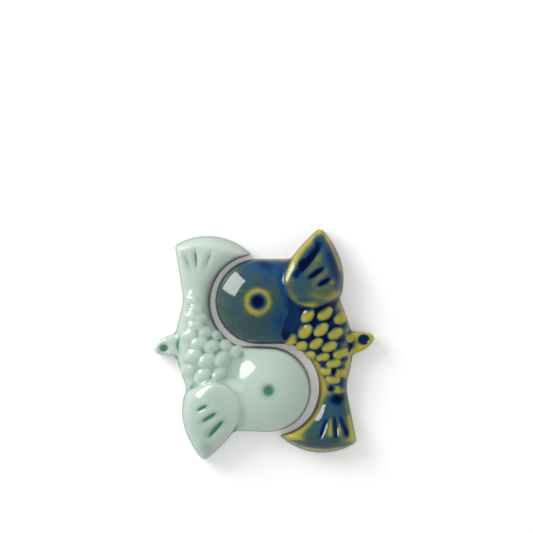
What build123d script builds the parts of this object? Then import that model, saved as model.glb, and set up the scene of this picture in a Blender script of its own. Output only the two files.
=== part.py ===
"""A pair of glazed ceramic fish, each a chopstick rest pressed in the same mould.

Each fish is one fired piece: a domed round head, a scaled back that curls round a bay, a waist where
the chopsticks lie, and a fanned tail. The bay and tail of one fish curl round the head of the other,
so the two nest head to tail. Millimetres, +Z up, the table at Z = 0.
"""

import os
from math import acos, asin, atan2, cos, degrees, radians, sin, tan

from build123d import *

# Section of the body: drafted walls, round shoulders and a shallow crown
DRAFT = 0.45
SHOULDER_ROUND = 1.6
CROWN_SHARE = 0.45

# Head: a half round nose, and a neck that falls from the crown into the gill crease
HEAD_RADIUS = 10.8
HEAD_HEIGHT = 10.0
NECK_STATIONS = ((3.4, 9.65), (6.8, 8.8), (9.8, 8.0))
NAPE_HEIGHT = 8.5

# How the two fish nest
HEAD_GAP = 0.5
NEST_SHIFT = 2.6
PARTNER_TURN = 178.0
BAY_GAP = 1.2
BAY_SHIFT = 0.65
BAY_LIFT = 0.3

# Back, as widths and heights on rays from the centre of the bay
SHOULDER_ANGLE = 52.0
SHOULDER_WIDTH = 16.3
SHOULDER_HEIGHT = 8.5
FLANK_ANGLE = 38.0
FLANK_WIDTH = 13.2
FLANK_HEIGHT = 8.0
LOIN_ANGLE = 24.0
LOIN_WIDTH = 10.6
LOIN_HEIGHT = 7.3
SMALL_ANGLE = 10.0
SMALL_WIDTH = 8.0
SMALL_HEIGHT = 6.5
WAIST_ANGLE = -4.0
WAIST_WIDTH = 7.35
WAIST_HEIGHT = 5.8

# Tail fan, from the waist up to its crest and over its rounded end
TAIL_RADIUS = 15.5
TAIL_HUB_INSET = 0.9
TAIL_CORNER_BEARING = -55.5
NECK_SHARE = 0.33
NECK_HEIGHT = 5.6
NECK_RISE = 2.3
BLADE_SHARE = 0.66
BLADE_HEIGHT = 6.6
BLADE_RISE = 2.3
CREST_HEIGHT = 7.4
CREST_RISE = 2.1
TAIL_END_WALL = 2.6
TAIL_END_ROUND = 3.4
TAIL_OVERRUN = 8.0
TAIL_TRIM = 0.25
TAIL_TIP_ROUND = 0.5
TAIL_CORNER_ROUND = 2.4

# Head fin: a leaf with a straighter side along the gill, and a rounded lobe on the shoulder
FIN_ROOT_X = 13.7
FIN_ROOT_Y = 4.0
FIN_BEARING = 82.3
FIN_WIDTH = 15.6
FIN_LENGTH = 14.9
FIN_GILL_BULGE = 1.8
FIN_EDGE_BULGE = 2.25
FIN_FALL = 1.6
FIN_LOBE = 5.8
FIN_LOBE_DROP = 0.5
FIN_HEIGHT = 10.3
FIN_TIP_HEIGHT = 5.2
FIN_GILL_WALL = 8.8
FIN_EDGE_WALL = 5.0
FIN_TIP_WALL = 4.0
LEAF_SHARES = (0, 0.3, 0.55, 0.75, 0.88, 0.955)
LOBE_SHARES = (0, 0.4, 0.7, 0.93)

# Side fin: a stub between two arcs, with a rounded tip and a thumbed dimple
SIDE_FIN_ANGLE = 29.2
SIDE_FIN_BEARING = 18.0
SIDE_FIN_REACH = 6.0
SIDE_FIN_WIDTH = 5.4
SIDE_FIN_HEAD_BULGE = 0.4
SIDE_FIN_TAIL_BULGE = 0.9
SIDE_FIN_ROOT = 3.0
SIDE_FIN_HEIGHT = 5.4
SIDE_FIN_TIP_ROUND = 1.2
SIDE_FIN_TOP_ROUND = 0.9
DIMPLE_INSET = 3.1
DIMPLE_RADIUS = 1.6
DIMPLE_DEPTH = 0.9

# Eye: a round pit
EYE_RADIUS = 2.1
EYE_DEPTH = 0.5

# Grooves, as the start and end of each: along and across the fin, or along rays of the tail
FIN_GROOVES = ((0.6, -5.0, 11.4, 1.5), (-0.3, -3.6, 6.5, 3.9), (-1.2, -0.4, 3.6, 5.5))
FIN_GROOVE_RADIUS = 0.85
FIN_GROOVE_DEPTH = 0.55
TAIL_RAY_ANGLE = -8.0
TAIL_GROOVES = ((-108.0, 0.6, 12.2), (-86.0, 1.6, 11.8), (-69.0, 3.0, 11.4))
TAIL_GROOVE_RADIUS = 0.75
TAIL_GROOVE_DEPTH = 0.5

# Scales: oval pads laid like tiles, each with its tail side raised
SCALE_START = 82.5
SCALE_ROW_STEP = 13.8
SCALE_LAG = 9.2
SCALE_FIRST_SHARE = 0.06
SCALE_SHARE_STEP = 0.2
SCALE_WIDTH = 4.3
SCALE_LENGTH = 2.9
SCALE_TAPER = 0.2
SCALE_TWIST = 14.0
SCALE_TILT = 9.0
SCALE_LIFT = 0.4
SCALE_THICKNESS = 1.8
SCALE_ROUND = 0.6
SCALE_ROWS = ((2, 3, 4), (0, 1, 2, 3), (0, 1, 2, 3), (0, 1, 2, 3), (1, 2, 3))

# Foot: a shallow dish under the thick head, inside a bare rim
FOOT_WIDTH = 2.6
DISH_DEPTH = 1.0

# Derived places
PARTNER_HEAD = Vector(NEST_SHIFT, -2 * HEAD_RADIUS - HEAD_GAP)
BAY = PARTNER_HEAD + Vector(BAY_SHIFT, BAY_LIFT)
BAY_RADIUS = HEAD_RADIUS + BAY_GAP
NAPE_ANGLE = degrees(asin((-BAY.Y - HEAD_RADIUS) / BAY_RADIUS))
FAN_PIVOT = Vector(0, BAY.Y - BAY.X * tan(radians(NAPE_ANGLE)))
UP = Vector(0, 0, 1)


def heading(angle):
    """Level unit vector at an angle from +X."""
    return Vector(cos(radians(angle)), sin(radians(angle)))


def from_bay(radius, angle):
    """Plan point at a radius and an angle from the centre of the bay."""
    return BAY + heading(angle) * radius


def upright(inner, outer):
    """Upright plane on the middle of two plan points, with its X towards the outer one."""
    across = outer - inner
    return Plane(origin=(inner + outer) / 2, x_dir=across, z_dir=across.cross(UP))


def crown(foot, rise):
    """Where a shoulder is centred, the radius of the crown over it, and the angle at which they meet."""
    side = foot - DRAFT - SHOULDER_ROUND
    radius = (side**2 + rise**2 - SHOULDER_ROUND**2) / (2 * (rise - SHOULDER_ROUND))
    return side, radius, degrees(atan2(radius - rise, side))


def loaf(inner, outer, height, rise):
    """Section of the body between two plan points: drafted walls, round shoulders and a shallow crown."""
    foot = (outer - inner).length / 2
    top = foot - DRAFT
    rise = min(rise, top)
    wall = height - rise
    side, radius, lean = crown(foot, rise)
    with BuildSketch(upright(inner, outer)) as face:
        with BuildLine():
            Line((-foot, 0), (foot, 0))
            Line((foot, 0), (top, wall))
            CenterArc((side, wall), SHOULDER_ROUND, 0, lean)
            CenterArc((0, height - radius), radius, lean, 180 - 2 * lean)
            CenterArc((-side, wall), SHOULDER_ROUND, 180 - lean, lean)
            Line((-top, wall), (-foot, 0))
        make_face()
    return face.sketch


def arch(inner, outer, height, inner_wall, outer_wall):
    """Section of a fin between two plan points: drafted walls under two quarter ellipses."""
    foot = (outer - inner).length / 2
    top = foot - DRAFT
    with BuildSketch(upright(inner, outer)) as face:
        with BuildLine():
            Line((-foot, 0), (foot, 0))
            Line((foot, 0), (top, outer_wall))
            EllipticalCenterArc((0, outer_wall), top, height - outer_wall, 0, arc_size=90)
            EllipticalCenterArc((0, inner_wall), top, height - inner_wall, 90, arc_size=90)
            Line((-top, inner_wall), (-foot, 0))
        make_face()
    return face.sketch


def surface_at(solid, place):
    """Highest point of a solid over a plan point, with the surface's direction there."""
    return solid.shell().find_intersection_points(Axis(place, UP))[-1]


# Nose
head_rise = HEAD_HEIGHT * CROWN_SHARE
head_wall = HEAD_HEIGHT - head_rise
with BuildPart() as nose:
    side, radius, lean = crown(HEAD_RADIUS, head_rise)
    with BuildSketch(Plane.XZ):
        with BuildLine():
            Line((0, 0), (HEAD_RADIUS, 0))
            Line((HEAD_RADIUS, 0), (HEAD_RADIUS - DRAFT, head_wall))
            CenterArc((side, head_wall), SHOULDER_ROUND, 0, lean)
            CenterArc((0, HEAD_HEIGHT - radius), radius, lean, 90 - lean)
            Line((0, HEAD_HEIGHT), (0, 0))
        make_face()
    revolve(axis=Axis.Z)
    split(bisect_by=Plane.YZ, keep=Keep.BOTTOM)


def neck_section(place, height):
    """Section across the neck, on a ray that fans out from the middle plane of the head to the nape."""
    ray = Vector(place, 0) - FAN_PIVOT
    inner = FAN_PIVOT + ray * ((-HEAD_RADIUS - FAN_PIVOT.Y) / ray.Y)
    outer = FAN_PIVOT + ray * ((HEAD_RADIUS - FAN_PIVOT.Y) / ray.Y)
    return loaf(inner, outer, height, height * CROWN_SHARE)


# Neck and back
nape_place = BAY.X - BAY.Y / tan(radians(NAPE_ANGLE))
nape = neck_section(nape_place, NAPE_HEIGHT)
neck_sections = [neck_section(place, height) for place, height in ((0, HEAD_HEIGHT), *NECK_STATIONS)]
stations = (
    (SHOULDER_ANGLE, SHOULDER_WIDTH, SHOULDER_HEIGHT),
    (FLANK_ANGLE, FLANK_WIDTH, FLANK_HEIGHT),
    (LOIN_ANGLE, LOIN_WIDTH, LOIN_HEIGHT),
    (SMALL_ANGLE, SMALL_WIDTH, SMALL_HEIGHT),
    (WAIST_ANGLE, WAIST_WIDTH, WAIST_HEIGHT),
)
back_sections = [nape]
for angle, width, height in stations:
    inner = from_bay(BAY_RADIUS, angle)
    outer = from_bay(BAY_RADIUS + width, angle)
    back_sections.append(loaf(inner, outer, height, height * CROWN_SHARE))
with BuildPart() as back:
    loft(back_sections)
    loft([*neck_sections, nape])
    add(nose.part)


def back_width(angle):
    """Width of the back on a ray from the bay, straight from station to station and beyond the shoulder."""
    nearest = max(i for i, station in enumerate(stations[:-1]) if i == 0 or station[0] >= angle)
    upper, lower = stations[nearest], stations[nearest + 1]
    return lower[1] + (upper[1] - lower[1]) * (angle - lower[0]) / (upper[0] - lower[0])


# Tail
hub_reach = BAY_RADIUS + TAIL_HUB_INSET
tail_hub = from_bay(hub_reach, WAIST_ANGLE)
tail_swing = degrees(acos((BAY_RADIUS**2 + hub_reach**2 - TAIL_RADIUS**2) / (2 * BAY_RADIUS * hub_reach)))
tip_angle = WAIST_ANGLE - tail_swing
tail_tip = from_bay(BAY_RADIUS, tip_angle)
tail_corner = tail_hub + heading(TAIL_CORNER_BEARING) * TAIL_RADIUS
waist_outer = from_bay(BAY_RADIUS + WAIST_WIDTH, WAIST_ANGLE)
tail_edge = tail_corner - waist_outer
edge_out = UP.cross(tail_edge).normalized()
tail_top = CREST_HEIGHT + TAIL_TRIM


def tail_section(share, height, rise):
    """Section across the tail, at a share of the way from the waist to its tip and corner."""
    inner = from_bay(BAY_RADIUS, WAIST_ANGLE - tail_swing * share)
    return loaf(inner, waist_outer + tail_edge * share, height, rise)


overrun_inner = tail_tip + heading(tip_angle - 90) * TAIL_OVERRUN
overrun_outer = tail_corner + tail_edge.normalized() * TAIL_OVERRUN
with BuildPart() as tail_room:
    with BuildSketch(Plane(origin=tail_hub, x_dir=(1, 0, 0), z_dir=(0, -1, 0))):
        rim = TAIL_RADIUS - DRAFT
        flat = rim - TAIL_END_ROUND
        with BuildLine():
            Line((0, 0), (TAIL_RADIUS, 0))
            Line((TAIL_RADIUS, 0), (rim, TAIL_END_WALL))
            EllipticalCenterArc((flat, TAIL_END_WALL), TAIL_END_ROUND, tail_top - TAIL_END_WALL, 0, arc_size=90)
            Line((flat, tail_top), (0, tail_top))
            Line((0, tail_top), (0, 0))
        make_face()
    revolve(axis=Axis(tail_hub, UP))
    with BuildSketch() as fan:
        with Locations(tail_hub):
            Circle(TAIL_RADIUS + TAIL_TRIM)
        with Locations(BAY):
            Circle(BAY_RADIUS - TAIL_TRIM, mode=Mode.SUBTRACT)
        split(bisect_by=Plane(origin=waist_outer + edge_out * TAIL_TRIM, z_dir=edge_out), keep=Keep.BOTTOM)
        fillet(fan.vertices().sort_by_distance(tail_tip)[0], TAIL_TIP_ROUND)
        fillet(fan.vertices().sort_by_distance(tail_corner)[0], TAIL_CORNER_ROUND)
    extrude(amount=tail_top, mode=Mode.INTERSECT)

with BuildPart() as tail:
    loft([
        back_sections[-1],
        tail_section(NECK_SHARE, NECK_HEIGHT, NECK_RISE),
        tail_section(BLADE_SHARE, BLADE_HEIGHT, BLADE_RISE),
        tail_section(1, CREST_HEIGHT, CREST_RISE),
        loaf(overrun_inner, overrun_outer, CREST_HEIGHT, CREST_RISE),
    ])
    add(tail_room.part, mode=Mode.INTERSECT)

# Head fin
fin_root = Vector(FIN_ROOT_X, FIN_ROOT_Y)
fin_along = heading(FIN_BEARING)
fin_across = heading(FIN_BEARING - 90)


def fin_arch(run, gill_half, edge_half, height, gill_wall, edge_wall):
    """Section across the fin, at a distance from its widest place towards its tip."""
    centre = fin_root + fin_along * run
    return arch(centre - fin_across * gill_half, centre + fin_across * edge_half, height, gill_wall, edge_wall)


def leaf_arch(share):
    """Section at a share of the way from the widest place to the tip."""
    gill_half = FIN_WIDTH / 2 * (1 - share**FIN_GILL_BULGE)
    edge_half = FIN_WIDTH / 2 * (1 - share**FIN_EDGE_BULGE)
    fall = share**FIN_FALL
    height = FIN_HEIGHT + (FIN_TIP_HEIGHT - FIN_HEIGHT) * fall
    gill_wall = FIN_GILL_WALL + (FIN_TIP_WALL - FIN_GILL_WALL) * fall
    edge_wall = FIN_EDGE_WALL + (FIN_TIP_WALL - FIN_EDGE_WALL) * fall
    return fin_arch(FIN_LENGTH * share, gill_half, edge_half, height, gill_wall, edge_wall)


def lobe_arch(share):
    """Section at a share of the way from the widest place to the end of the lobe."""
    half = FIN_WIDTH / 2 * (1 - share**2) ** 0.5
    height = FIN_HEIGHT - FIN_LOBE_DROP * share**2
    return fin_arch(-FIN_LOBE * share, half, half, height, FIN_GILL_WALL, FIN_EDGE_WALL)


with BuildPart() as fin:
    loft([leaf_arch(share) for share in LEAF_SHARES])
    loft([lobe_arch(share) for share in LOBE_SHARES])

# Side fin
side_root = from_bay(BAY_RADIUS + back_width(SIDE_FIN_ANGLE), SIDE_FIN_ANGLE)
side_along = heading(SIDE_FIN_BEARING)
side_tip = side_root + side_along * SIDE_FIN_REACH
with BuildPart() as side_fin:
    with BuildSketch(Plane(origin=side_root, x_dir=side_along)) as stub:
        half = SIDE_FIN_WIDTH / 2
        with BuildLine():
            Line((0, half), (-SIDE_FIN_ROOT, half))
            Line((-SIDE_FIN_ROOT, half), (-SIDE_FIN_ROOT, -half))
            Line((-SIDE_FIN_ROOT, -half), (0, -half))
            SagittaArc((0, -half), (SIDE_FIN_REACH, 0), -SIDE_FIN_TAIL_BULGE)
            SagittaArc((SIDE_FIN_REACH, 0), (0, half), -SIDE_FIN_HEAD_BULGE)
        make_face()
        fillet(stub.vertices().sort_by_distance((SIDE_FIN_REACH, 0))[0], SIDE_FIN_TIP_ROUND)
    extrude(amount=SIDE_FIN_HEIGHT)
    fillet(side_fin.edges().group_by(Axis.Z)[-1], SIDE_FIN_TOP_ROUND)
    dimple_ball = (DIMPLE_RADIUS**2 + DIMPLE_DEPTH**2) / (2 * DIMPLE_DEPTH)
    dimple_place = side_tip - side_along * DIMPLE_INSET + UP * (SIDE_FIN_HEIGHT + dimple_ball - DIMPLE_DEPTH)
    with Locations(dimple_place):
        Sphere(dimple_ball, mode=Mode.SUBTRACT)


def scale_pad(row, column):
    """Oval pad on the back, tilted so that its tail side stands proud."""
    angle = SCALE_START - SCALE_ROW_STEP * row - SCALE_LAG * column
    share = SCALE_FIRST_SHARE + SCALE_SHARE_STEP * column
    spot, normal = surface_at(back.part, from_bay(BAY_RADIUS + back_width(angle) * share, angle))
    level = heading(angle - 90)
    tailward = (level - normal * level.dot(normal)).normalized()
    lean = normal * cos(radians(SCALE_TILT)) - tailward * sin(radians(SCALE_TILT))
    taper = SCALE_TAPER * row / 2
    with BuildPart() as pad:
        with BuildSketch(Plane(origin=spot + normal * SCALE_LIFT, x_dir=tailward.cross(normal), z_dir=lean)):
            Ellipse(SCALE_WIDTH / 2 - taper, SCALE_LENGTH / 2 - taper, rotation=-SCALE_TWIST)
        extrude(amount=-SCALE_THICKNESS)
        fillet(pad.edges().filter_by(GeomType.ELLIPSE).sort_by(Axis((0, 0, 0), lean))[-1], SCALE_ROUND)
    return pad.part


scales = [scale_pad(row, column) for row, columns in enumerate(SCALE_ROWS) for column in columns]


def groove(solid, start, end, radius, depth):
    """Spindle laid along a solid's surface between two plan points, to be cut from it."""
    tips = [surface_at(solid, place)[0] for place in (start, end)]
    middle = surface_at(solid, (start + end) / 2)[0]
    lift = max(middle.Z - (tips[0].Z + tips[1].Z) / 2, 0) + radius - depth
    run = tips[1] - tips[0]
    plane = Plane(origin=tips[0] + UP * lift, x_dir=run, z_dir=run.cross(UP))
    with BuildPart() as spindle:
        with BuildSketch(plane):
            with BuildLine():
                ThreePointArc((0, 0), (run.length / 2, radius), (run.length, 0))
                Line((run.length, 0), (0, 0))
            make_face()
        revolve(axis=Axis(plane.origin, run))
    return spindle.part


grooves = []
for start_run, start_side, end_run, end_side in FIN_GROOVES:
    start = fin_root + fin_along * start_run + fin_across * start_side
    end = fin_root + fin_along * end_run + fin_across * end_side
    grooves.append(groove(fin.part, start, end, FIN_GROOVE_RADIUS, FIN_GROOVE_DEPTH))
ray_hub = from_bay(BAY_RADIUS + WAIST_WIDTH / 2, TAIL_RAY_ANGLE)
for bearing, start_run, end_run in TAIL_GROOVES:
    start = ray_hub + heading(bearing) * start_run
    end = ray_hub + heading(bearing) * end_run
    grooves.append(groove(tail.part, start, end, TAIL_GROOVE_RADIUS, TAIL_GROOVE_DEPTH))

# One whole fish
eye_ball = (EYE_RADIUS**2 + EYE_DEPTH**2) / (2 * EYE_DEPTH)
dish_radius = HEAD_RADIUS - FOOT_WIDTH
dish_ball = (dish_radius**2 + DISH_DEPTH**2) / (2 * DISH_DEPTH)
with BuildPart() as fish:
    add(back.part)
    add(tail.part)
    add(fin.part)
    add(side_fin.part)
    add(scales)
    add(grooves, mode=Mode.SUBTRACT)
    with Locations((0, 0, HEAD_HEIGHT + eye_ball - EYE_DEPTH)):
        Sphere(eye_ball, mode=Mode.SUBTRACT)
    with Locations((0, 0, DISH_DEPTH - dish_ball)):
        Sphere(dish_ball, mode=Mode.SUBTRACT)

# The pair, head to tail, with the middle of both over the origin
partner = Location(PARTNER_HEAD, (0, 0, PARTNER_TURN))
pair_box = fish.part.bounding_box().add(fish.part.moved(partner).bounding_box())
middle = Vector(pair_box.center().X, pair_box.center().Y)
with BuildPart() as blue_rest:
    with Locations(Location(-middle)):
        add(fish.part)
with BuildPart() as celadon_rest:
    with Locations(Location(-middle) * partner):
        add(fish.part)

os.makedirs("parts", exist_ok=True)
for name, rest in (("blue_rest", blue_rest), ("celadon_rest", celadon_rest)):
    rest.part.label = name
    export_step(rest.part, f"parts/{name}.step")
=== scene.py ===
# %% [markdown]
# # A nested pair of glazed fish
# Two chopstick rests from one mould lie head to tail on a table. Each is a single lump of fired clay under
# a thick, glossy glaze: one blue that breaks to yellow, one pale celadon. The measured solids come first,
# as a frame that never moves. What is added here is the look: clay edges melted soft, and glaze that runs
# thin over high places and pools in low ones.

# %% load the measured frame
from math import cos, pi, radians, sin

import bmesh
import bpy
from mathutils import Matrix, Vector


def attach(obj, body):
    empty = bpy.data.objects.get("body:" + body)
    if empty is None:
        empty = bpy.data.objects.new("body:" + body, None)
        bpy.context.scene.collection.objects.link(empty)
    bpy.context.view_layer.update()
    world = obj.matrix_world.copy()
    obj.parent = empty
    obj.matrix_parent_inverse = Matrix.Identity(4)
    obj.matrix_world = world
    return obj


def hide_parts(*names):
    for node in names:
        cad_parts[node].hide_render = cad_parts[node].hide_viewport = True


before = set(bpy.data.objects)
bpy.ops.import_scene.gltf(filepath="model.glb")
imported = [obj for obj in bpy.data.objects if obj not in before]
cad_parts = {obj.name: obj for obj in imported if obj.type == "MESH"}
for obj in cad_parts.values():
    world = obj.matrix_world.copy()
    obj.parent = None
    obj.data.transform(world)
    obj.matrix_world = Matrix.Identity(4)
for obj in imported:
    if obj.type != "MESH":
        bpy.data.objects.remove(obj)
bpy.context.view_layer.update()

MM = 0.001

# %% [markdown]
# ## Camera
# The pair is seen from straight above, as a flat-lay. A short lens close by would splay the walls, so a
# long lens far away keeps them upright. The frame is square, so one size sets both its sides.

# %% place the camera
VIEW_WIDTH = 133.25 * MM
VIEW_CENTRE = Vector((0.656, 19.533, 5.0)) * MM
LENS = 200.0
SENSOR = 36.0
FARTHEST_SEEN = 10.0

camera_data = bpy.data.cameras.new("camera")
camera_data.lens = LENS
camera_data.sensor_width = SENSOR
camera_data.clip_end = FARTHEST_SEEN
camera = bpy.data.objects.new("camera", camera_data)
camera_height = VIEW_WIDTH / 2 / (SENSOR / 2 / LENS)
camera.location = VIEW_CENTRE + Vector((0, 0, camera_height))
bpy.context.scene.collection.objects.link(camera)
bpy.context.scene.camera = camera
print(f"camera {camera_height:.3f} m above the pair")

# %% [markdown]
# ## Node trees from short lines
# Every finish below is a tree of nodes. It could be wired by hand in an editor, but a script can be read,
# and run again. The first helper adds one node, sets its options first, because they decide which sockets
# it has, and then fills each socket with a value or a link. The others are short names for the nodes used
# most.


# %% helpers for node trees
def add_node(tree, kind, inputs=None, **options):
    node = tree.nodes.new(kind)
    for name, value in options.items():
        setattr(node, name, value)
    for key, value in (inputs or {}).items():
        if isinstance(value, bpy.types.NodeSocket):
            tree.links.new(value, node.inputs[key])
        else:
            node.inputs[key].default_value = value
    return node


def calculate(tree, operation, first, second=0.0):
    return add_node(tree, "ShaderNodeMath", {0: first, 1: second}, operation=operation).outputs[0]


def move(tree, operation, first, second):
    return add_node(tree, "ShaderNodeVectorMath", {0: first, 1: second}, operation=operation).outputs


def fade(tree, value, start, end, first, last):
    """A soft change from a first amount to a last one, as a value goes from a start to an end."""
    inputs = {"Value": value, "From Min": start, "From Max": end, "To Min": first, "To Max": last}
    return add_node(tree, "ShaderNodeMapRange", inputs, interpolation_type="SMOOTHSTEP").outputs[0]


def new_material(name):
    material = bpy.data.materials.new(name)
    material.use_nodes = True
    return material, material.node_tree, material.node_tree.nodes["Principled BSDF"]


print("helpers for node trees: add_node, calculate, move, fade, new_material")

# %% [markdown]
# ## Table
# The rests lie on a plain white table that takes their shadow. A slab could be modelled, but only its top
# shows, so a round sheet is enough. It lies a hair above the foot of the fish, so that the two never share a
# plane and the foot shows clean from below.

# %% the table
TABLE_RADIUS = 3.0
TABLE_SEGMENTS = 96
TABLE_RISE = 0.01 * MM

table_mesh = bpy.data.meshes.new("table")
sheet = bmesh.new()
bmesh.ops.create_circle(sheet, cap_ends=True, radius=TABLE_RADIUS, segments=TABLE_SEGMENTS)
sheet.to_mesh(table_mesh)
sheet.free()
table = bpy.data.objects.new("table", table_mesh)
table.location.z = TABLE_RISE
bpy.context.scene.collection.objects.link(table)
table_paint, tree, shader = new_material("white_table")
table_mesh.materials.append(table_paint)
print(f"table {2 * TABLE_RADIUS:.0f} m across")

# %% [markdown]
# ## Paint of the table
# More lamps would whiten the table but bleach the glaze. Instead the paint glows a little for the camera
# alone. Glossy glaze mirrors a dimmer paint, or its dark blue walls turn grey. The table is clear from
# below and lets light into the shallow dish under each head, so that the foot of a rest can be looked at.

# %% paint the table
TABLE_WHITE = 0.93
TABLE_DIMMING = 0.4
TABLE_GLOW = 0.2
TABLE_ROUGHNESS = 0.7
TABLE_SHINE = 0.2
DISH_RADIUS = 8.2 * MM
HEAD_PLACE = Vector((-1.469, 10.783, 0)) * MM
HEAD_TO_HEAD = Vector((2.6, -22.1, 0)) * MM
PARTNER_TURN = radians(178)

BLUE_EYE = Matrix.Translation(HEAD_PLACE)
CELADON_EYE = Matrix.Translation(HEAD_PLACE + HEAD_TO_HEAD) @ Matrix.Rotation(PARTNER_TURN, 4, "Z")
shader.inputs["Roughness"].default_value = TABLE_ROUGHNESS
shader.inputs["Specular IOR Level"].default_value = TABLE_SHINE
shader.inputs["Emission Color"].default_value = (1, 1, 1, 1)
rays = add_node(tree, "ShaderNodeLightPath").outputs
glow = calculate(tree, "MULTIPLY", rays["Is Camera Ray"], TABLE_GLOW)
tree.links.new(glow, shader.inputs["Emission Strength"])
dimming = calculate(tree, "MULTIPLY", rays["Is Glossy Ray"], TABLE_DIMMING)
tree.links.new(calculate(tree, "SUBTRACT", TABLE_WHITE, dimming), shader.inputs["Base Color"])
place = add_node(tree, "ShaderNodeTexCoord").outputs["Object"]
reaches = [move(tree, "DISTANCE", place, eye.to_translation())["Value"] for eye in (BLUE_EYE, CELADON_EYE)]
under_dish = calculate(tree, "LESS_THAN", calculate(tree, "MINIMUM", *reaches), DISH_RADIUS)
unseen = calculate(tree, "SUBTRACT", 1.0, rays["Is Camera Ray"])
behind = add_node(tree, "ShaderNodeNewGeometry").outputs["Backfacing"]
clearness = calculate(tree, "MAXIMUM", behind, calculate(tree, "MULTIPLY", under_dish, unseen))
clear = add_node(tree, "ShaderNodeBsdfTransparent").outputs[0]
one_sided = add_node(tree, "ShaderNodeMixShader", {0: clearness, 1: shader.outputs[0], 2: clear}).outputs[0]
tree.links.new(one_sided, tree.nodes["Material Output"].inputs["Surface"])
print(f"{table_paint.name}: {len(tree.nodes)} nodes")

# %% [markdown]
# ## Softbox
# A glossy dome mirrors whatever lights it. A round lamp would leave a dot, but the heads show a clean
# square, so one square softbox stands low at the upper left. Its power follows from its area, and its
# brightness stays the same when its size is changed.

# %% the softbox
SOFTBOX_SIDE = 0.34
SOFTBOX_DISTANCE = 0.6
SOFTBOX_BEARING = radians(143)
SOFTBOX_LEAN = radians(57)
SOFTBOX_BRIGHTNESS = 6.0

lamp = bpy.data.lights.new("key_softbox", "AREA")
lamp.shape = "SQUARE"
lamp.size = SOFTBOX_SIDE
lamp.energy = SOFTBOX_BRIGHTNESS * pi * SOFTBOX_SIDE**2
softbox = bpy.data.objects.new("key_softbox", lamp)
level = sin(SOFTBOX_LEAN)
away = Vector((level * cos(SOFTBOX_BEARING), level * sin(SOFTBOX_BEARING), cos(SOFTBOX_LEAN)))
softbox.location = away * SOFTBOX_DISTANCE
softbox.rotation_euler = away.to_track_quat("Z", "Y").to_euler()
bpy.context.scene.collection.objects.link(softbox)
print(f"softbox of {lamp.energy:.2f} W, {softbox.location.z:.2f} m above the table")

# %% [markdown]
# ## Sky
# The sky fills all sides evenly, as a light tent does, and the camera sees it white. A picture of a studio
# could be wrapped round the scene, but three plain shades are enough. The glaze mirrors a darker sky,
# darkest overhead, so that its own colour shows on top of the domes.

# %% the sky
SKY_FILL = 0.66
SKY_SEEN = 1.0
MIRRORED_HORIZON = 0.3
MIRRORED_ZENITH = 0.02
HORIZON_TOP = 0.1
ZENITH_FOOT = 0.8

sky = bpy.data.worlds.new("studio_sky")
bpy.context.scene.world = sky
sky.use_nodes = True
tree = sky.node_tree
direction = add_node(tree, "ShaderNodeTexCoord").outputs["Generated"]
height = add_node(tree, "ShaderNodeSeparateXYZ", {0: direction}).outputs["Z"]
mirrored = fade(tree, height, HORIZON_TOP, ZENITH_FOOT, MIRRORED_HORIZON, MIRRORED_ZENITH)
rays = add_node(tree, "ShaderNodeLightPath").outputs
darker = calculate(tree, "SUBTRACT", mirrored, SKY_FILL)
in_mirror = calculate(tree, "MULTIPLY", rays["Is Glossy Ray"], darker)
in_view = calculate(tree, "MULTIPLY", rays["Is Camera Ray"], SKY_SEEN - SKY_FILL)
shade = calculate(tree, "ADD", calculate(tree, "ADD", in_mirror, in_view), SKY_FILL)
tree.links.new(shade, tree.nodes["Background"].inputs["Color"])
bpy.context.scene.view_settings.view_transform = "Standard"
print(f"{sky.name}: {SKY_FILL} on the fish, {SKY_SEEN} in view")

# %% [markdown]
# ## From crisp clay to an even skin
# The measured solid has crisp edges, and its mesh is long thin triangles. Glaze needs an even skin, so a
# copy is welded shut and rebuilt on a fine grid. It could be smoothed by hand, but a rule is truer to the
# kiln.

# %% rebuild a fish on a fine grid
SKIN_GRID = 0.235 * MM
WELD = 0.0005 * MM


def fine_skin(node, name):
    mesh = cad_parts[node].data.copy()
    mesh.name = name
    mesh.materials.clear()
    weld = bmesh.new()
    weld.from_mesh(mesh)
    bmesh.ops.remove_doubles(weld, verts=weld.verts, dist=WELD)
    open_edges = sum(not edge.is_manifold for edge in weld.edges)
    weld.to_mesh(mesh)
    weld.free()
    fish = bpy.data.objects.new(name, mesh)
    bpy.context.scene.collection.objects.link(fish)
    grid = fish.modifiers.new("fine_grid", "REMESH")
    grid.mode = "VOXEL"
    grid.voxel_size = SKIN_GRID
    grid.use_smooth_shade = True
    print(f"{name}: {open_edges} open edges before the fine grid")
    return fish


for node in ("blue_rest", "celadon_rest"):
    print(f"{node}: {len(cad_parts[node].data.polygons)} measured triangles")

# %% [markdown]
# ## A tree that melts the skin
# Molten glaze creeps off edges and high places and gathers in grooves. It could be sculpted fish by fish,
# but both fish follow one rule, so a Geometry Nodes tree does it. What differs between them is a named
# input.

# %% the inputs of the tree
TREE_INPUTS = {
    "NodeSocketGeometry": ("Geometry",),
    "NodeSocketInt": ("Melt steps", "Fine steps", "Broad steps", "Wide steps"),
    "NodeSocketFloat": ("Foot height", "Fill"),
    "NodeSocketMaterial": ("Glaze", "Clay"),
}

glaze_relief = bpy.data.node_groups.new("glaze_relief", "GeometryNodeTree")
for kind, names in TREE_INPUTS.items():
    for name in names:
        glaze_relief.interface.new_socket(name, in_out="INPUT", socket_type=kind)
glaze_relief.interface.new_socket("Geometry", in_out="OUTPUT", socket_type="NodeSocketGeometry")
given = add_node(glaze_relief, "NodeGroupInput").outputs
print("inputs of the tree:", [socket.name for socket in given if socket.name])

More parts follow.
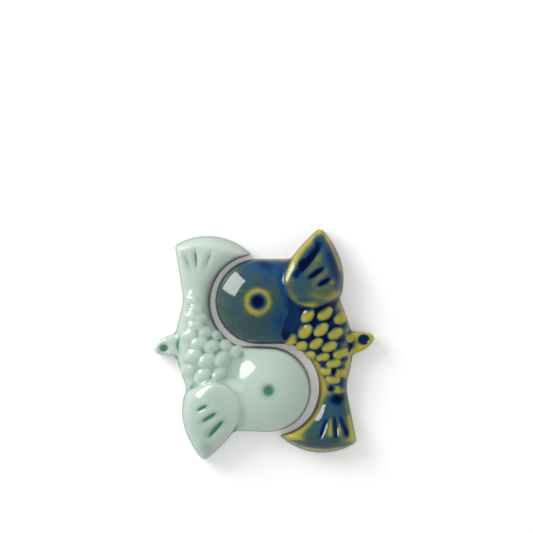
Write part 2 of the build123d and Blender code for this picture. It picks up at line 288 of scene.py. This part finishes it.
# %% [markdown]
# ## Where glaze runs thin and where it pools
# How far a point stands above a blurred copy of the skin says whether it is on a ridge or in a hollow.
# Three widths of blur are kept on the skin as attributes: a fine one that finds grooves and rims, a broad
# one that finds whole scales, and a wide one that finds the valley of the gill. Each starts from the melted
# skin.

# %% measure ridges and hollows
here = add_node(glaze_relief, "GeometryNodeInputPosition").outputs[0]
outward = add_node(glaze_relief, "GeometryNodeInputNormal").outputs[0]


def blurred(steps):
    inputs = {"Value": here, "Iterations": steps}
    return add_node(glaze_relief, "GeometryNodeBlurAttribute", inputs, data_type="FLOAT_VECTOR").outputs[0]


melted = blurred(given["Melt steps"])
blurs = {name: blurred(given[f"{name.title()} steps"]) for name in ("fine", "broad", "wide")}
skin = given["Geometry"]
for name, blur in blurs.items():
    lift = move(glaze_relief, "SUBTRACT", melted, blur)["Vector"]
    height = move(glaze_relief, "DOT_PRODUCT", lift, outward)["Value"]
    in_mm = calculate(glaze_relief, "MULTIPLY", height, 1 / MM)
    inputs = {"Geometry": skin, "Name": f"{name}_relief", "Value": in_mm}
    skin = add_node(glaze_relief, "GeometryNodeStoreNamedAttribute", inputs, data_type="FLOAT").outputs[0]
print("kept on the skin:", [f"{name}_relief" for name in blurs])

# %% [markdown]
# ## Melted edges, filled hollows and a flat foot
# The skin moves to its melted place, and a hollow climbs part of the way up to the broad blur, as glaze
# fills it. The foot is wiped flat, takes bare clay instead of glaze, and stands on the table.

# %% melt, fill and wipe
FULL_POOL = -0.16
FLAT = (1, 1, 0)

inputs = {"Name": "broad_relief"}
broad_height = add_node(glaze_relief, "GeometryNodeInputNamedAttribute", inputs, data_type="FLOAT")
share = fade(glaze_relief, broad_height.outputs[0], 0.0, FULL_POOL, 0.0, given["Fill"])
inputs = {0: move(glaze_relief, "SUBTRACT", blurs["broad"], melted)["Vector"], "Scale": share}
climb = add_node(glaze_relief, "ShaderNodeVectorMath", inputs, operation="SCALE").outputs["Vector"]
filled = move(glaze_relief, "ADD", melted, climb)["Vector"]
level = add_node(glaze_relief, "ShaderNodeSeparateXYZ", {0: here}).outputs["Z"]
inputs = {0: level, 1: given["Foot height"]}
under = add_node(glaze_relief, "FunctionNodeCompare", inputs, operation="LESS_THAN").outputs[0]
flat = move(glaze_relief, "MULTIPLY", filled, FLAT)["Vector"]
inputs = {"Switch": under, "False": filled, "True": flat}
wiped = add_node(glaze_relief, "GeometryNodeSwitch", inputs, input_type="VECTOR").outputs[0]
skin = add_node(glaze_relief, "GeometryNodeSetPosition", {"Geometry": skin, "Position": wiped}).outputs[0]
skin = add_node(glaze_relief, "GeometryNodeSetShadeSmooth", {"Geometry": skin}).outputs[0]
skin = add_node(glaze_relief, "GeometryNodeRealizeInstances", {"Geometry": skin}).outputs[0]
inputs = {"Geometry": skin, "Material": given["Glaze"]}
skin = add_node(glaze_relief, "GeometryNodeSetMaterial", inputs).outputs[0]
inputs = {"Geometry": skin, "Selection": under, "Material": given["Clay"]}
skin = add_node(glaze_relief, "GeometryNodeSetMaterial", inputs).outputs[0]
add_node(glaze_relief, "NodeGroupOutput", {"Geometry": skin})
print(f"{glaze_relief.name}: {len(glaze_relief.nodes)} nodes")

# %% [markdown]
# ## From tree to plain mesh
# A tree stays live until its result is copied out. The copy is a plain mesh that carries the relief with
# it, so it can be moved, exported and painted like any other. The inputs are set by identifier, because two
# inputs may share a name.


# %% run the tree on a fish
def melt_skin(fish, values):
    melt = fish.modifiers.new("relief", "NODES")
    melt.node_group = glaze_relief
    for item in glaze_relief.interface.items_tree:
        if item.item_type == "SOCKET" and item.in_out == "INPUT" and item.name in values:
            melt[item.identifier] = values[item.name]
    fish.update_tag()
    graph = bpy.context.evaluated_depsgraph_get()
    finished = bpy.data.meshes.new_from_object(fish.evaluated_get(graph), depsgraph=graph)
    fish.modifiers.clear()
    rough = fish.data
    fish.data = finished
    finished.name = fish.name
    bpy.data.meshes.remove(rough)
    print(f"{fish.name}: {len(finished.polygons)} faces, slots {[slot.name for slot in finished.materials]}")


print("helper for a melted skin: melt_skin")

# %% [markdown]
# ## Thickness of the glaze
# Both glazes are painted by one number, the thickness of the glaze from bare ridge to deep pool. The relief
# gives most of it. Clouds of noise keep it from looking even, and a ramp turns it into colour. Painting an
# image would give the same colours, but would have to be fitted to the skin again after each change.

# %% helpers for thickness and colour
CLOUD_DETAIL = 3.0
NOISE_MIDDLE = 0.5


def noise(tree, scale, detail=2.0):
    place = add_node(tree, "ShaderNodeTexCoord").outputs["Object"]
    inputs = {"Vector": place, "Scale": scale, "Detail": detail}
    return add_node(tree, "ShaderNodeTexNoise", inputs).outputs["Fac"]


def drift(tree, scale, amount):
    """Thickness that wanders by an amount, in clouds of a scale."""
    clouds = calculate(tree, "SUBTRACT", noise(tree, scale, CLOUD_DETAIL), NOISE_MIDDLE)
    return calculate(tree, "MULTIPLY", clouds, amount)


def total(tree, values):
    result = values[0]
    for value in values[1:]:
        result = calculate(tree, "ADD", result, value)
    return result


def relief(tree, name, ridge_gain, hollow_gain, ridge_floor=0.0):
    """Thickness lost on ridges higher than a floor, and gained in hollows."""
    height = add_node(tree, "ShaderNodeAttribute", attribute_name=f"{name}_relief").outputs["Fac"]
    ridge = calculate(tree, "MAXIMUM", calculate(tree, "SUBTRACT", height, ridge_floor), 0.0)
    hollow = calculate(tree, "MINIMUM", height, 0.0)
    lost = calculate(tree, "MULTIPLY", ridge, -ridge_gain)
    return calculate(tree, "ADD", lost, calculate(tree, "MULTIPLY", hollow, -hollow_gain))


def ramp(tree, value, stops):
    node = add_node(tree, "ShaderNodeValToRGB", {0: value})
    for index, (place, colour) in enumerate(stops):
        stop = node.color_ramp.elements[index] if index < 2 else node.color_ramp.elements.new(place)
        stop.position = place
        stop.color = (*colour, 1)
    return node.outputs["Color"]


print("helpers for thickness: noise, drift, total, relief, ramp")

# %% [markdown]
# ## The hand of the potter
# Some glaze is laid on or wiped off by hand, in dabs, rings and strokes that are soft at the rim. The fish
# share a mould, so each mark is placed on one fish, in mm from the middle of its eye. The second fish is
# the first one moved and turned.

# %% helpers for marks by hand
RING_END_FADE = 4.0
PAST_THE_FISH = 30.0


def fish_place(tree, eye):
    """Place on the fish in mm, from the middle of its eye."""
    place = add_node(tree, "ShaderNodeTexCoord").outputs["Object"]
    inputs = {"Vector": place, "Location": eye.to_translation(), "Rotation": eye.to_euler()}
    inputs["Scale"] = (MM, MM, MM)
    return add_node(tree, "ShaderNodeMapping", inputs, vector_type="TEXTURE").outputs[0]


def dab(tree, place, centre, size, amount, hold=0.0):
    """Extra thickness that holds over a share of an oval and fades out to its rim."""
    offset = move(tree, "SUBTRACT", place, (*centre, 0))["Vector"]
    share = move(tree, "MULTIPLY", offset, (1 / size[0], 1 / size[1], 0))["Vector"]
    reach = move(tree, "LENGTH", share, (0, 0, 0))["Value"]
    return fade(tree, reach, hold, 1.0, amount, 0.0)


def ring(tree, place, centre, radius, width, amount, right_end=PAST_THE_FISH):
    """Extra thickness on a soft ring, or on the part of it left of an end."""
    across = add_node(tree, "ShaderNodeSeparateXYZ", {0: place}).outputs["X"]
    amount = fade(tree, across, right_end - RING_END_FADE, right_end, amount, 0.0)
    offset = move(tree, "MULTIPLY", move(tree, "SUBTRACT", place, (*centre, 0))["Vector"], FLAT)["Vector"]
    reach = move(tree, "LENGTH", offset, (0, 0, 0))["Value"]
    away = calculate(tree, "ABSOLUTE", calculate(tree, "SUBTRACT", reach, radius))
    return fade(tree, away, 0.0, width, amount, 0.0)


def stroke(tree, place, start, end, width, amount):
    """Extra thickness along a brushed line."""
    line = Vector((*end, 0)) - Vector((*start, 0))
    offset = move(tree, "MULTIPLY", move(tree, "SUBTRACT", place, (*start, 0))["Vector"], FLAT)["Vector"]
    share = move(tree, "DOT_PRODUCT", offset, line / line.length_squared)["Value"]
    along = calculate(tree, "MAXIMUM", calculate(tree, "MINIMUM", share, 1.0), 0.0)
    nearest = add_node(tree, "ShaderNodeVectorMath", {0: line, "Scale": along}, operation="SCALE")
    reach = move(tree, "DISTANCE", offset, nearest.outputs["Vector"])["Value"]
    return fade(tree, reach, 0.0, width, amount, 0.0)


print("helpers for marks by hand: fish_place, dab, ring, stroke")

# %% [markdown]
# ## Walls and gloss
# Glaze runs down the walls and gathers low on them, while marks made from above stay off the underside. A
# fired glaze is glass: a clear coat over the colour, with a faint wave in it that a flat mirror would lack.

# %% helpers for walls and gloss
RUN_LOW = 2.0
RUN_HIGH = 4.6
MARKS_LOW = 1.1
MARKS_HIGH = 1.8
WAVE = 0.06 * MM
WAVE_SCALE = 260.0
GLAZE_ROUGHNESS = 0.09
COAT_WEIGHT = 0.8
COAT_ROUGHNESS = 0.04


def run_down(tree, place, amount):
    """Extra thickness low on the walls, where glaze runs down."""
    height = add_node(tree, "ShaderNodeSeparateXYZ", {0: place}).outputs["Z"]
    return fade(tree, height, RUN_LOW, RUN_HIGH, amount, 0.0)


def above_foot(tree, place, amount):
    """Keeps thickness laid on from above off the underside."""
    height = add_node(tree, "ShaderNodeSeparateXYZ", {0: place}).outputs["Z"]
    return fade(tree, height, MARKS_LOW, MARKS_HIGH, 0.0, amount)


def glossy(tree, shader):
    """A glass coat with a faint wave in it, as a poured glaze has."""
    inputs = {"Height": noise(tree, WAVE_SCALE), "Strength": 1.0, "Distance": WAVE}
    wave = add_node(tree, "ShaderNodeBump", inputs).outputs[0]
    for name in ("Normal", "Coat Normal"):
        tree.links.new(wave, shader.inputs[name])
    shader.inputs["Roughness"].default_value = GLAZE_ROUGHNESS
    shader.inputs["Coat Weight"].default_value = COAT_WEIGHT
    shader.inputs["Coat Roughness"].default_value = COAT_ROUGHNESS


print(f"gloss: a wave of {WAVE / MM} mm under a coat of {COAT_WEIGHT}")

# %% [markdown]
# ## Marks on the blue fish
# Each dab has a centre, a half width and half height, an amount and the share of it that holds. Each stroke
# has two ends, a half width and an amount. Less than nothing wipes glaze off, and yellow shows. They were
# chosen one by one, and are listed from head to tail.

# %% dabs on the blue fish
EYE = (0.0, 0.0)
BLUE_DABS = {
    "head": (EYE, (12.5, 12.5), 0.11, 0.86),
    "brow": ((1.5, 10.4), (9.5, 4.6), 0.2, 0.1),
    "cheek": ((5.5, -5.0), (5.5, 5.5), 0.08, 0.1),
    "chin": ((3.0, -9.8), (7.5, 2.8), 0.24, 0.2),
    "pupil": (EYE, (3.3, 3.3), 0.95, 0.0),
    "head fin": ((15.0, 8.0), (7.0, 9.5), 0.17, 0.5),
    "behind the head fin": ((12.5, -0.8), (7.0, 2.4), 0.2, 0.5),
    "tip of the head fin": ((15.3, 15.7), (2.1, 3.0), 0.36, 0.4),
    "between the first fin rays": ((15.2, 11.0), (1.6, 2.2), -0.1, 0.1),
    "between the last fin rays": ((17.0, 7.9), (1.2, 1.4), -0.1, 0.1),
    "end of the last fin ray": ((18.7, 4.9), (1.3, 1.3), -0.22, 0.1),
    "outer corner of the head fin": ((20.4, 4.6), (2.4, 3.0), 0.26, 0.2),
    "scaled back": ((16.5, -9.0), (9.0, 15.0), -0.08, 0.6),
    "pool before the side fin": ((21.9, -5.8), (1.3, 1.3), 0.4, 0.2),
    "pool at the side fin": ((21.0, -9.4), (1.3, 1.6), 0.45, 0.2),
    "dimple of the side fin": ((26.3, -9.7), (1.6, 1.3), 0.5, 0.3),
    "scale behind the side fin": ((22.6, -12.4), (1.6, 1.4), -0.35, 0.3),
    "pool behind that scale": ((21.7, -14.2), (1.4, 1.0), 0.5, 0.1),
    "pool between the last scales": ((18.9, -17.5), (1.1, 1.2), 0.7, 0.2),
    "pool beside the bay": ((16.1, -15.2), (1.3, 0.8), 0.5, 0.2),
    "small spot on the waist": ((18.4, -21.8), (1.6, 1.1), 0.75, 0.1),
    "large spot on the waist": ((19.7, -24.4), (2.8, 2.1), 0.5, 0.1),
    "tail": ((18.5, -31.5), (10.0, 9.0), 0.14, 0.5),
    "crest of the tail": ((15.0, -35.1), (10.8, 1.9), 0.29, 0.4),
    "end of the last tail ray": ((22.0, -33.0), (1.0, 1.8), 0.2, 0.2),
    "between the last tail rays": ((20.3, -31.8), (0.8, 2.2), -0.14, 0.2),
}
print(f"{len(BLUE_DABS)} dabs, of which {sum(mark[2] < 0 for mark in BLUE_DABS.values())} wipe glaze off")

# %% [markdown]
# ## Strokes and rings on the blue fish
# A rim is wiped along its whole length, so it is a stroke or a ring and not a row of dabs. Some hollows
# stay paler than their depth would make them, so each of those has a limit: a dab or ring that lowers the
# deepest thickness.

# %% strokes, rings and limits on the blue fish
BAY = (3.25, -21.8)
TAIL_END = ((5.8, -33.7), (8.8, -35.4), (12.6, -36.8), (17.1, -37.3), (22.4, -36.4))
TAIL_END_MARK = (0.55, -0.26)
BLUE_STROKES = {
    "gill rim of the head fin, low": ((6.4, 5.5), (9.0, 10.4), 1.9, -0.2),
    "gill rim of the head fin, middle": ((9.0, 10.4), (12.0, 14.7), 1.6, -0.18),
    "gill rim of the head fin, high": ((12.0, 14.7), (15.5, 17.8), 1.2, -0.2),
    "first fin ray, low": ((9.5, 6.8), (11.1, 9.5), 1.7, 0.4),
    "first fin ray, high": ((11.1, 9.5), (14.6, 13.2), 1.7, 0.4),
    "outer rim of the head fin": ((17.0, 16.9), (20.6, 8.0), 0.7, -0.34),
    "inside that rim": ((17.6, 13.6), (19.6, 7.0), 2.4, 0.28),
    "rim of the shoulder": ((21.3, -1.5), (23.1, -6.8), 0.7, -0.4),
    "rim behind the side fin": ((23.0, -13.0), (21.9, -18.6), 0.8, -0.4),
    "side of the waist": ((21.2, -19.8), (21.2, -24.0), 1.1, 0.36),
    "rim of the tail": ((23.0, -29.0), (24.1, -34.2), 1.0, -0.34),
    "between the first tail rays": ((18.2, -29.8), (17.9, -33.6), 1.0, -0.18),
}
BLUE_RINGS = {
    "iris": (EYE, 2.4, 1.8, -0.33),
    "rim of the head": (EYE, 10.4, 1.7, 0.32, 4.0),
    "rim of the bay": (BAY, 12.9, 1.3, -0.2),
}
GILL_LIMITS = {
    "upper gill": ((6.0, 5.0), (2.6, 8.0), -0.28, 0.5),
    "lower gill": ((8.2, -3.8), (3.4, 6.0), -0.2, 0.5),
}
BLUE_LIMITS = {
    **GILL_LIMITS,
    "root of the side fin": ((23.0, -9.2), (1.7, 1.6), -0.85, 0.4),
    "dimple of the side fin": ((26.3, -9.7), (2.4, 2.4), -0.16, 0.5),
    "tail rays": ((18.7, -29.6), (5.0, 4.2), -0.17, 0.7),
    "end of the tail": ((14.5, -36.6), (12.0, 3.6), -0.43, 0.73),
}
BLUE_PUPIL_RIM = (EYE, 2.0, 1.1, -0.36)
blue_strokes = [*BLUE_STROKES.values(), *[(*ends, *TAIL_END_MARK) for ends in zip(TAIL_END, TAIL_END[1:])]]
print(f"{len(blue_strokes)} strokes, {len(BLUE_RINGS)} rings and {len(BLUE_LIMITS) + 1} limits")

# %% [markdown]
# ## Blue glaze that breaks yellow
# One glaze, many colours: thin it is mustard yellow, then olive and teal, and where it is deep, cobalt and
# a navy that is almost black. So a single ramp of colour over thickness paints the whole fish. Broad clouds
# and a fine mottle stand for the way this glaze curdles in the kiln.

# %% the blue glaze
BLUE_THICKNESS = 0.52
BLUE_RUN = 0.3
BLUE_CLOUDS = (210.0, 0.24)
BLUE_MOTTLE = (1300.0, 0.15)
BLUE_STOPS = (
    (0.0, (0.48, 0.42, 0.05)),
    (0.26, (0.36, 0.32, 0.05)),
    (0.42, (0.13, 0.17, 0.075)),
    (0.55, (0.046, 0.094, 0.09)),
    (0.68, (0.013, 0.078, 0.195)),
    (0.82, (0.004, 0.024, 0.085)),
    (1.0, (0.001, 0.005, 0.03)),
)

blue_glaze, tree, shader = new_material("blue_breaking_glaze")
place = fish_place(tree, BLUE_EYE)
painted = total(tree, [
    *[dab(tree, place, *mark) for mark in BLUE_DABS.values()],
    *[stroke(tree, place, *mark) for mark in blue_strokes],
    *[ring(tree, place, *mark) for mark in BLUE_RINGS.values()],
    run_down(tree, place, BLUE_RUN),
])
pooled = total(tree, [
    relief(tree, "fine", ridge_gain=1.0, hollow_gain=5.0),
    relief(tree, "broad", ridge_gain=1.3, hollow_gain=5.5, ridge_floor=0.03),
    relief(tree, "wide", ridge_gain=0.0, hollow_gain=0.3),
    above_foot(tree, place, painted),
    drift(tree, *BLUE_CLOUDS),
    drift(tree, *BLUE_MOTTLE),
    BLUE_THICKNESS,
])
limits = [dab(tree, place, *mark) for mark in BLUE_LIMITS.values()]
deepest = total(tree, [1.0, *limits, ring(tree, place, *BLUE_PUPIL_RIM)])
thickness = calculate(tree, "MINIMUM", pooled, deepest)
tree.links.new(ramp(tree, thickness, BLUE_STOPS), shader.inputs["Base Color"])
glossy(tree, shader)
print(f"{blue_glaze.name}: {len(tree.nodes)} nodes")

# %% [markdown]
# ## Celadon
# The pale fish has the same relief under a clear grey-green glaze. Colour only shows where it is deep: in
# the eye, the fin rays and round the scales. The hollow that runs behind its head fin and gill stays pale.

# %% the celadon glaze
CELADON_DABS = {
    "pupil": (EYE, (3.2, 3.2), 0.5, 0.0),
    "tip of the head fin": ((15.2, 15.8), (3.6, 3.6), 0.24, 0.2),
    # The head fin faces the softbox and renders brighter than the rest, so this dab paints it darker:
    # painted shade, not deeper glaze.
    "head fin": ((14.5, 7.5), (7.0, 9.5), 0.1, 0.5),
    "tail": ((18.5, -31.5), (9.0, 7.0), -0.14, 0.5),
}
CELADON_STROKES = {
    "first fin ray": ((10.8, 8.2), (15.0, 11.2), 1.6, 0.16),
    "second fin ray": ((12.8, 6.3), (17.0, 8.6), 1.4, 0.12),
    "third fin ray": ((14.7, 4.2), (16.6, 5.3), 1.2, 0.08),
}
CELADON_GILL = 1.7
CELADON_FIN_LIMIT = ((12.5, -0.6), (8.0, 2.6), -0.4, 0.5)
CELADON_PUPIL_RIM = (EYE, 2.5, 1.8, -0.38)
CELADON_THICKNESS = 0.5
CELADON_CLOUDS = (160.0, 0.06)
CELADON_STOPS = (
    (0.0, (0.68, 0.79, 0.71)),
    (0.5, (0.5, 0.63, 0.55)),
    (0.75, (0.34, 0.5, 0.41)),
    (1.0, (0.07, 0.22, 0.14)),
)

celadon_glaze, tree, shader = new_material("celadon_pooling_glaze")
place = fish_place(tree, CELADON_EYE)
painted = total(tree, [
    *[dab(tree, place, *mark) for mark in CELADON_DABS.values()],
    *[stroke(tree, place, *mark) for mark in CELADON_STROKES.values()],
])
pooled = total(tree, [
    relief(tree, "fine", ridge_gain=0.8, hollow_gain=6.5),
    relief(tree, "broad", ridge_gain=0.6, hollow_gain=1.2, ridge_floor=0.05),
    above_foot(tree, place, painted),
    drift(tree, *CELADON_CLOUDS),
    CELADON_THICKNESS,
])
limits = [dab(tree, place, *oval, CELADON_GILL * limit, hold) for *oval, limit, hold in GILL_LIMITS.values()]
limits += [dab(tree, place, *CELADON_FIN_LIMIT), ring(tree, place, *CELADON_PUPIL_RIM)]
thickness = calculate(tree, "MINIMUM", pooled, total(tree, [1.0, *limits]))
tree.links.new(ramp(tree, thickness, CELADON_STOPS), shader.inputs["Base Color"])
glossy(tree, shader)
print(f"{celadon_glaze.name}: {len(tree.nodes)} nodes")

# %% [markdown]
# ## Bare foot
# A potter wipes the glaze off the foot, or it would weld itself to the kiln shelf. What is left is dry,
# rough clay with a little grit in it, so noise mixes two clay colours and nothing shines.

# %% the bare clay
GRIT_SCALE = 900.0
GRIT_DETAIL = 4.0
CLAY_ROUGHNESS = 0.85
CLAY_STOPS = ((0.3, (0.55, 0.48, 0.4)), (0.7, (0.68, 0.62, 0.53)))

bare_clay, tree, shader = new_material("bare_clay")
tree.links.new(ramp(tree, noise(tree, GRIT_SCALE, GRIT_DETAIL), CLAY_STOPS), shader.inputs["Base Color"])
shader.inputs["Roughness"].default_value = CLAY_ROUGHNESS
print(f"{bare_clay.name}: {len(tree.nodes)} nodes")

# %% [markdown]
# ## Dress the two fish
# Celadon flows more than the blue glaze, so its edges melt by more steps and its hollows fill higher. Each
# skin rides on its own body, stands for its measured solid, and takes that solid's finish.

# %% the two finished fish
FOOT_HEIGHT = 0.12 * MM
FINE_BEYOND_MELT = 17
BROAD_STEPS = 80
WIDE_STEPS = 300
BLUE_FLOW = (10, 0.45)
CELADON_FLOW = (18, 0.85)
DRESS = (
    ("blue_glazed_rest", "blue_rest", "blue_fish", "blue_glaze", blue_glaze, BLUE_FLOW),
    ("celadon_glazed_rest", "celadon_rest", "celadon_fish", "celadon_glaze", celadon_glaze, CELADON_FLOW),
)

for name, node, body, slot, glaze, (melt, fill) in DRESS:
    fish = fine_skin(node, name)
    melt_skin(fish, {
        "Melt steps": melt,
        "Fine steps": melt + FINE_BEYOND_MELT,
        "Broad steps": BROAD_STEPS,
        "Wide steps": WIDE_STEPS,
        "Foot height": FOOT_HEIGHT,
        "Fill": fill,
        "Glaze": glaze,
        "Clay": bare_clay,
    })
    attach(fish, body)
    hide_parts(node)
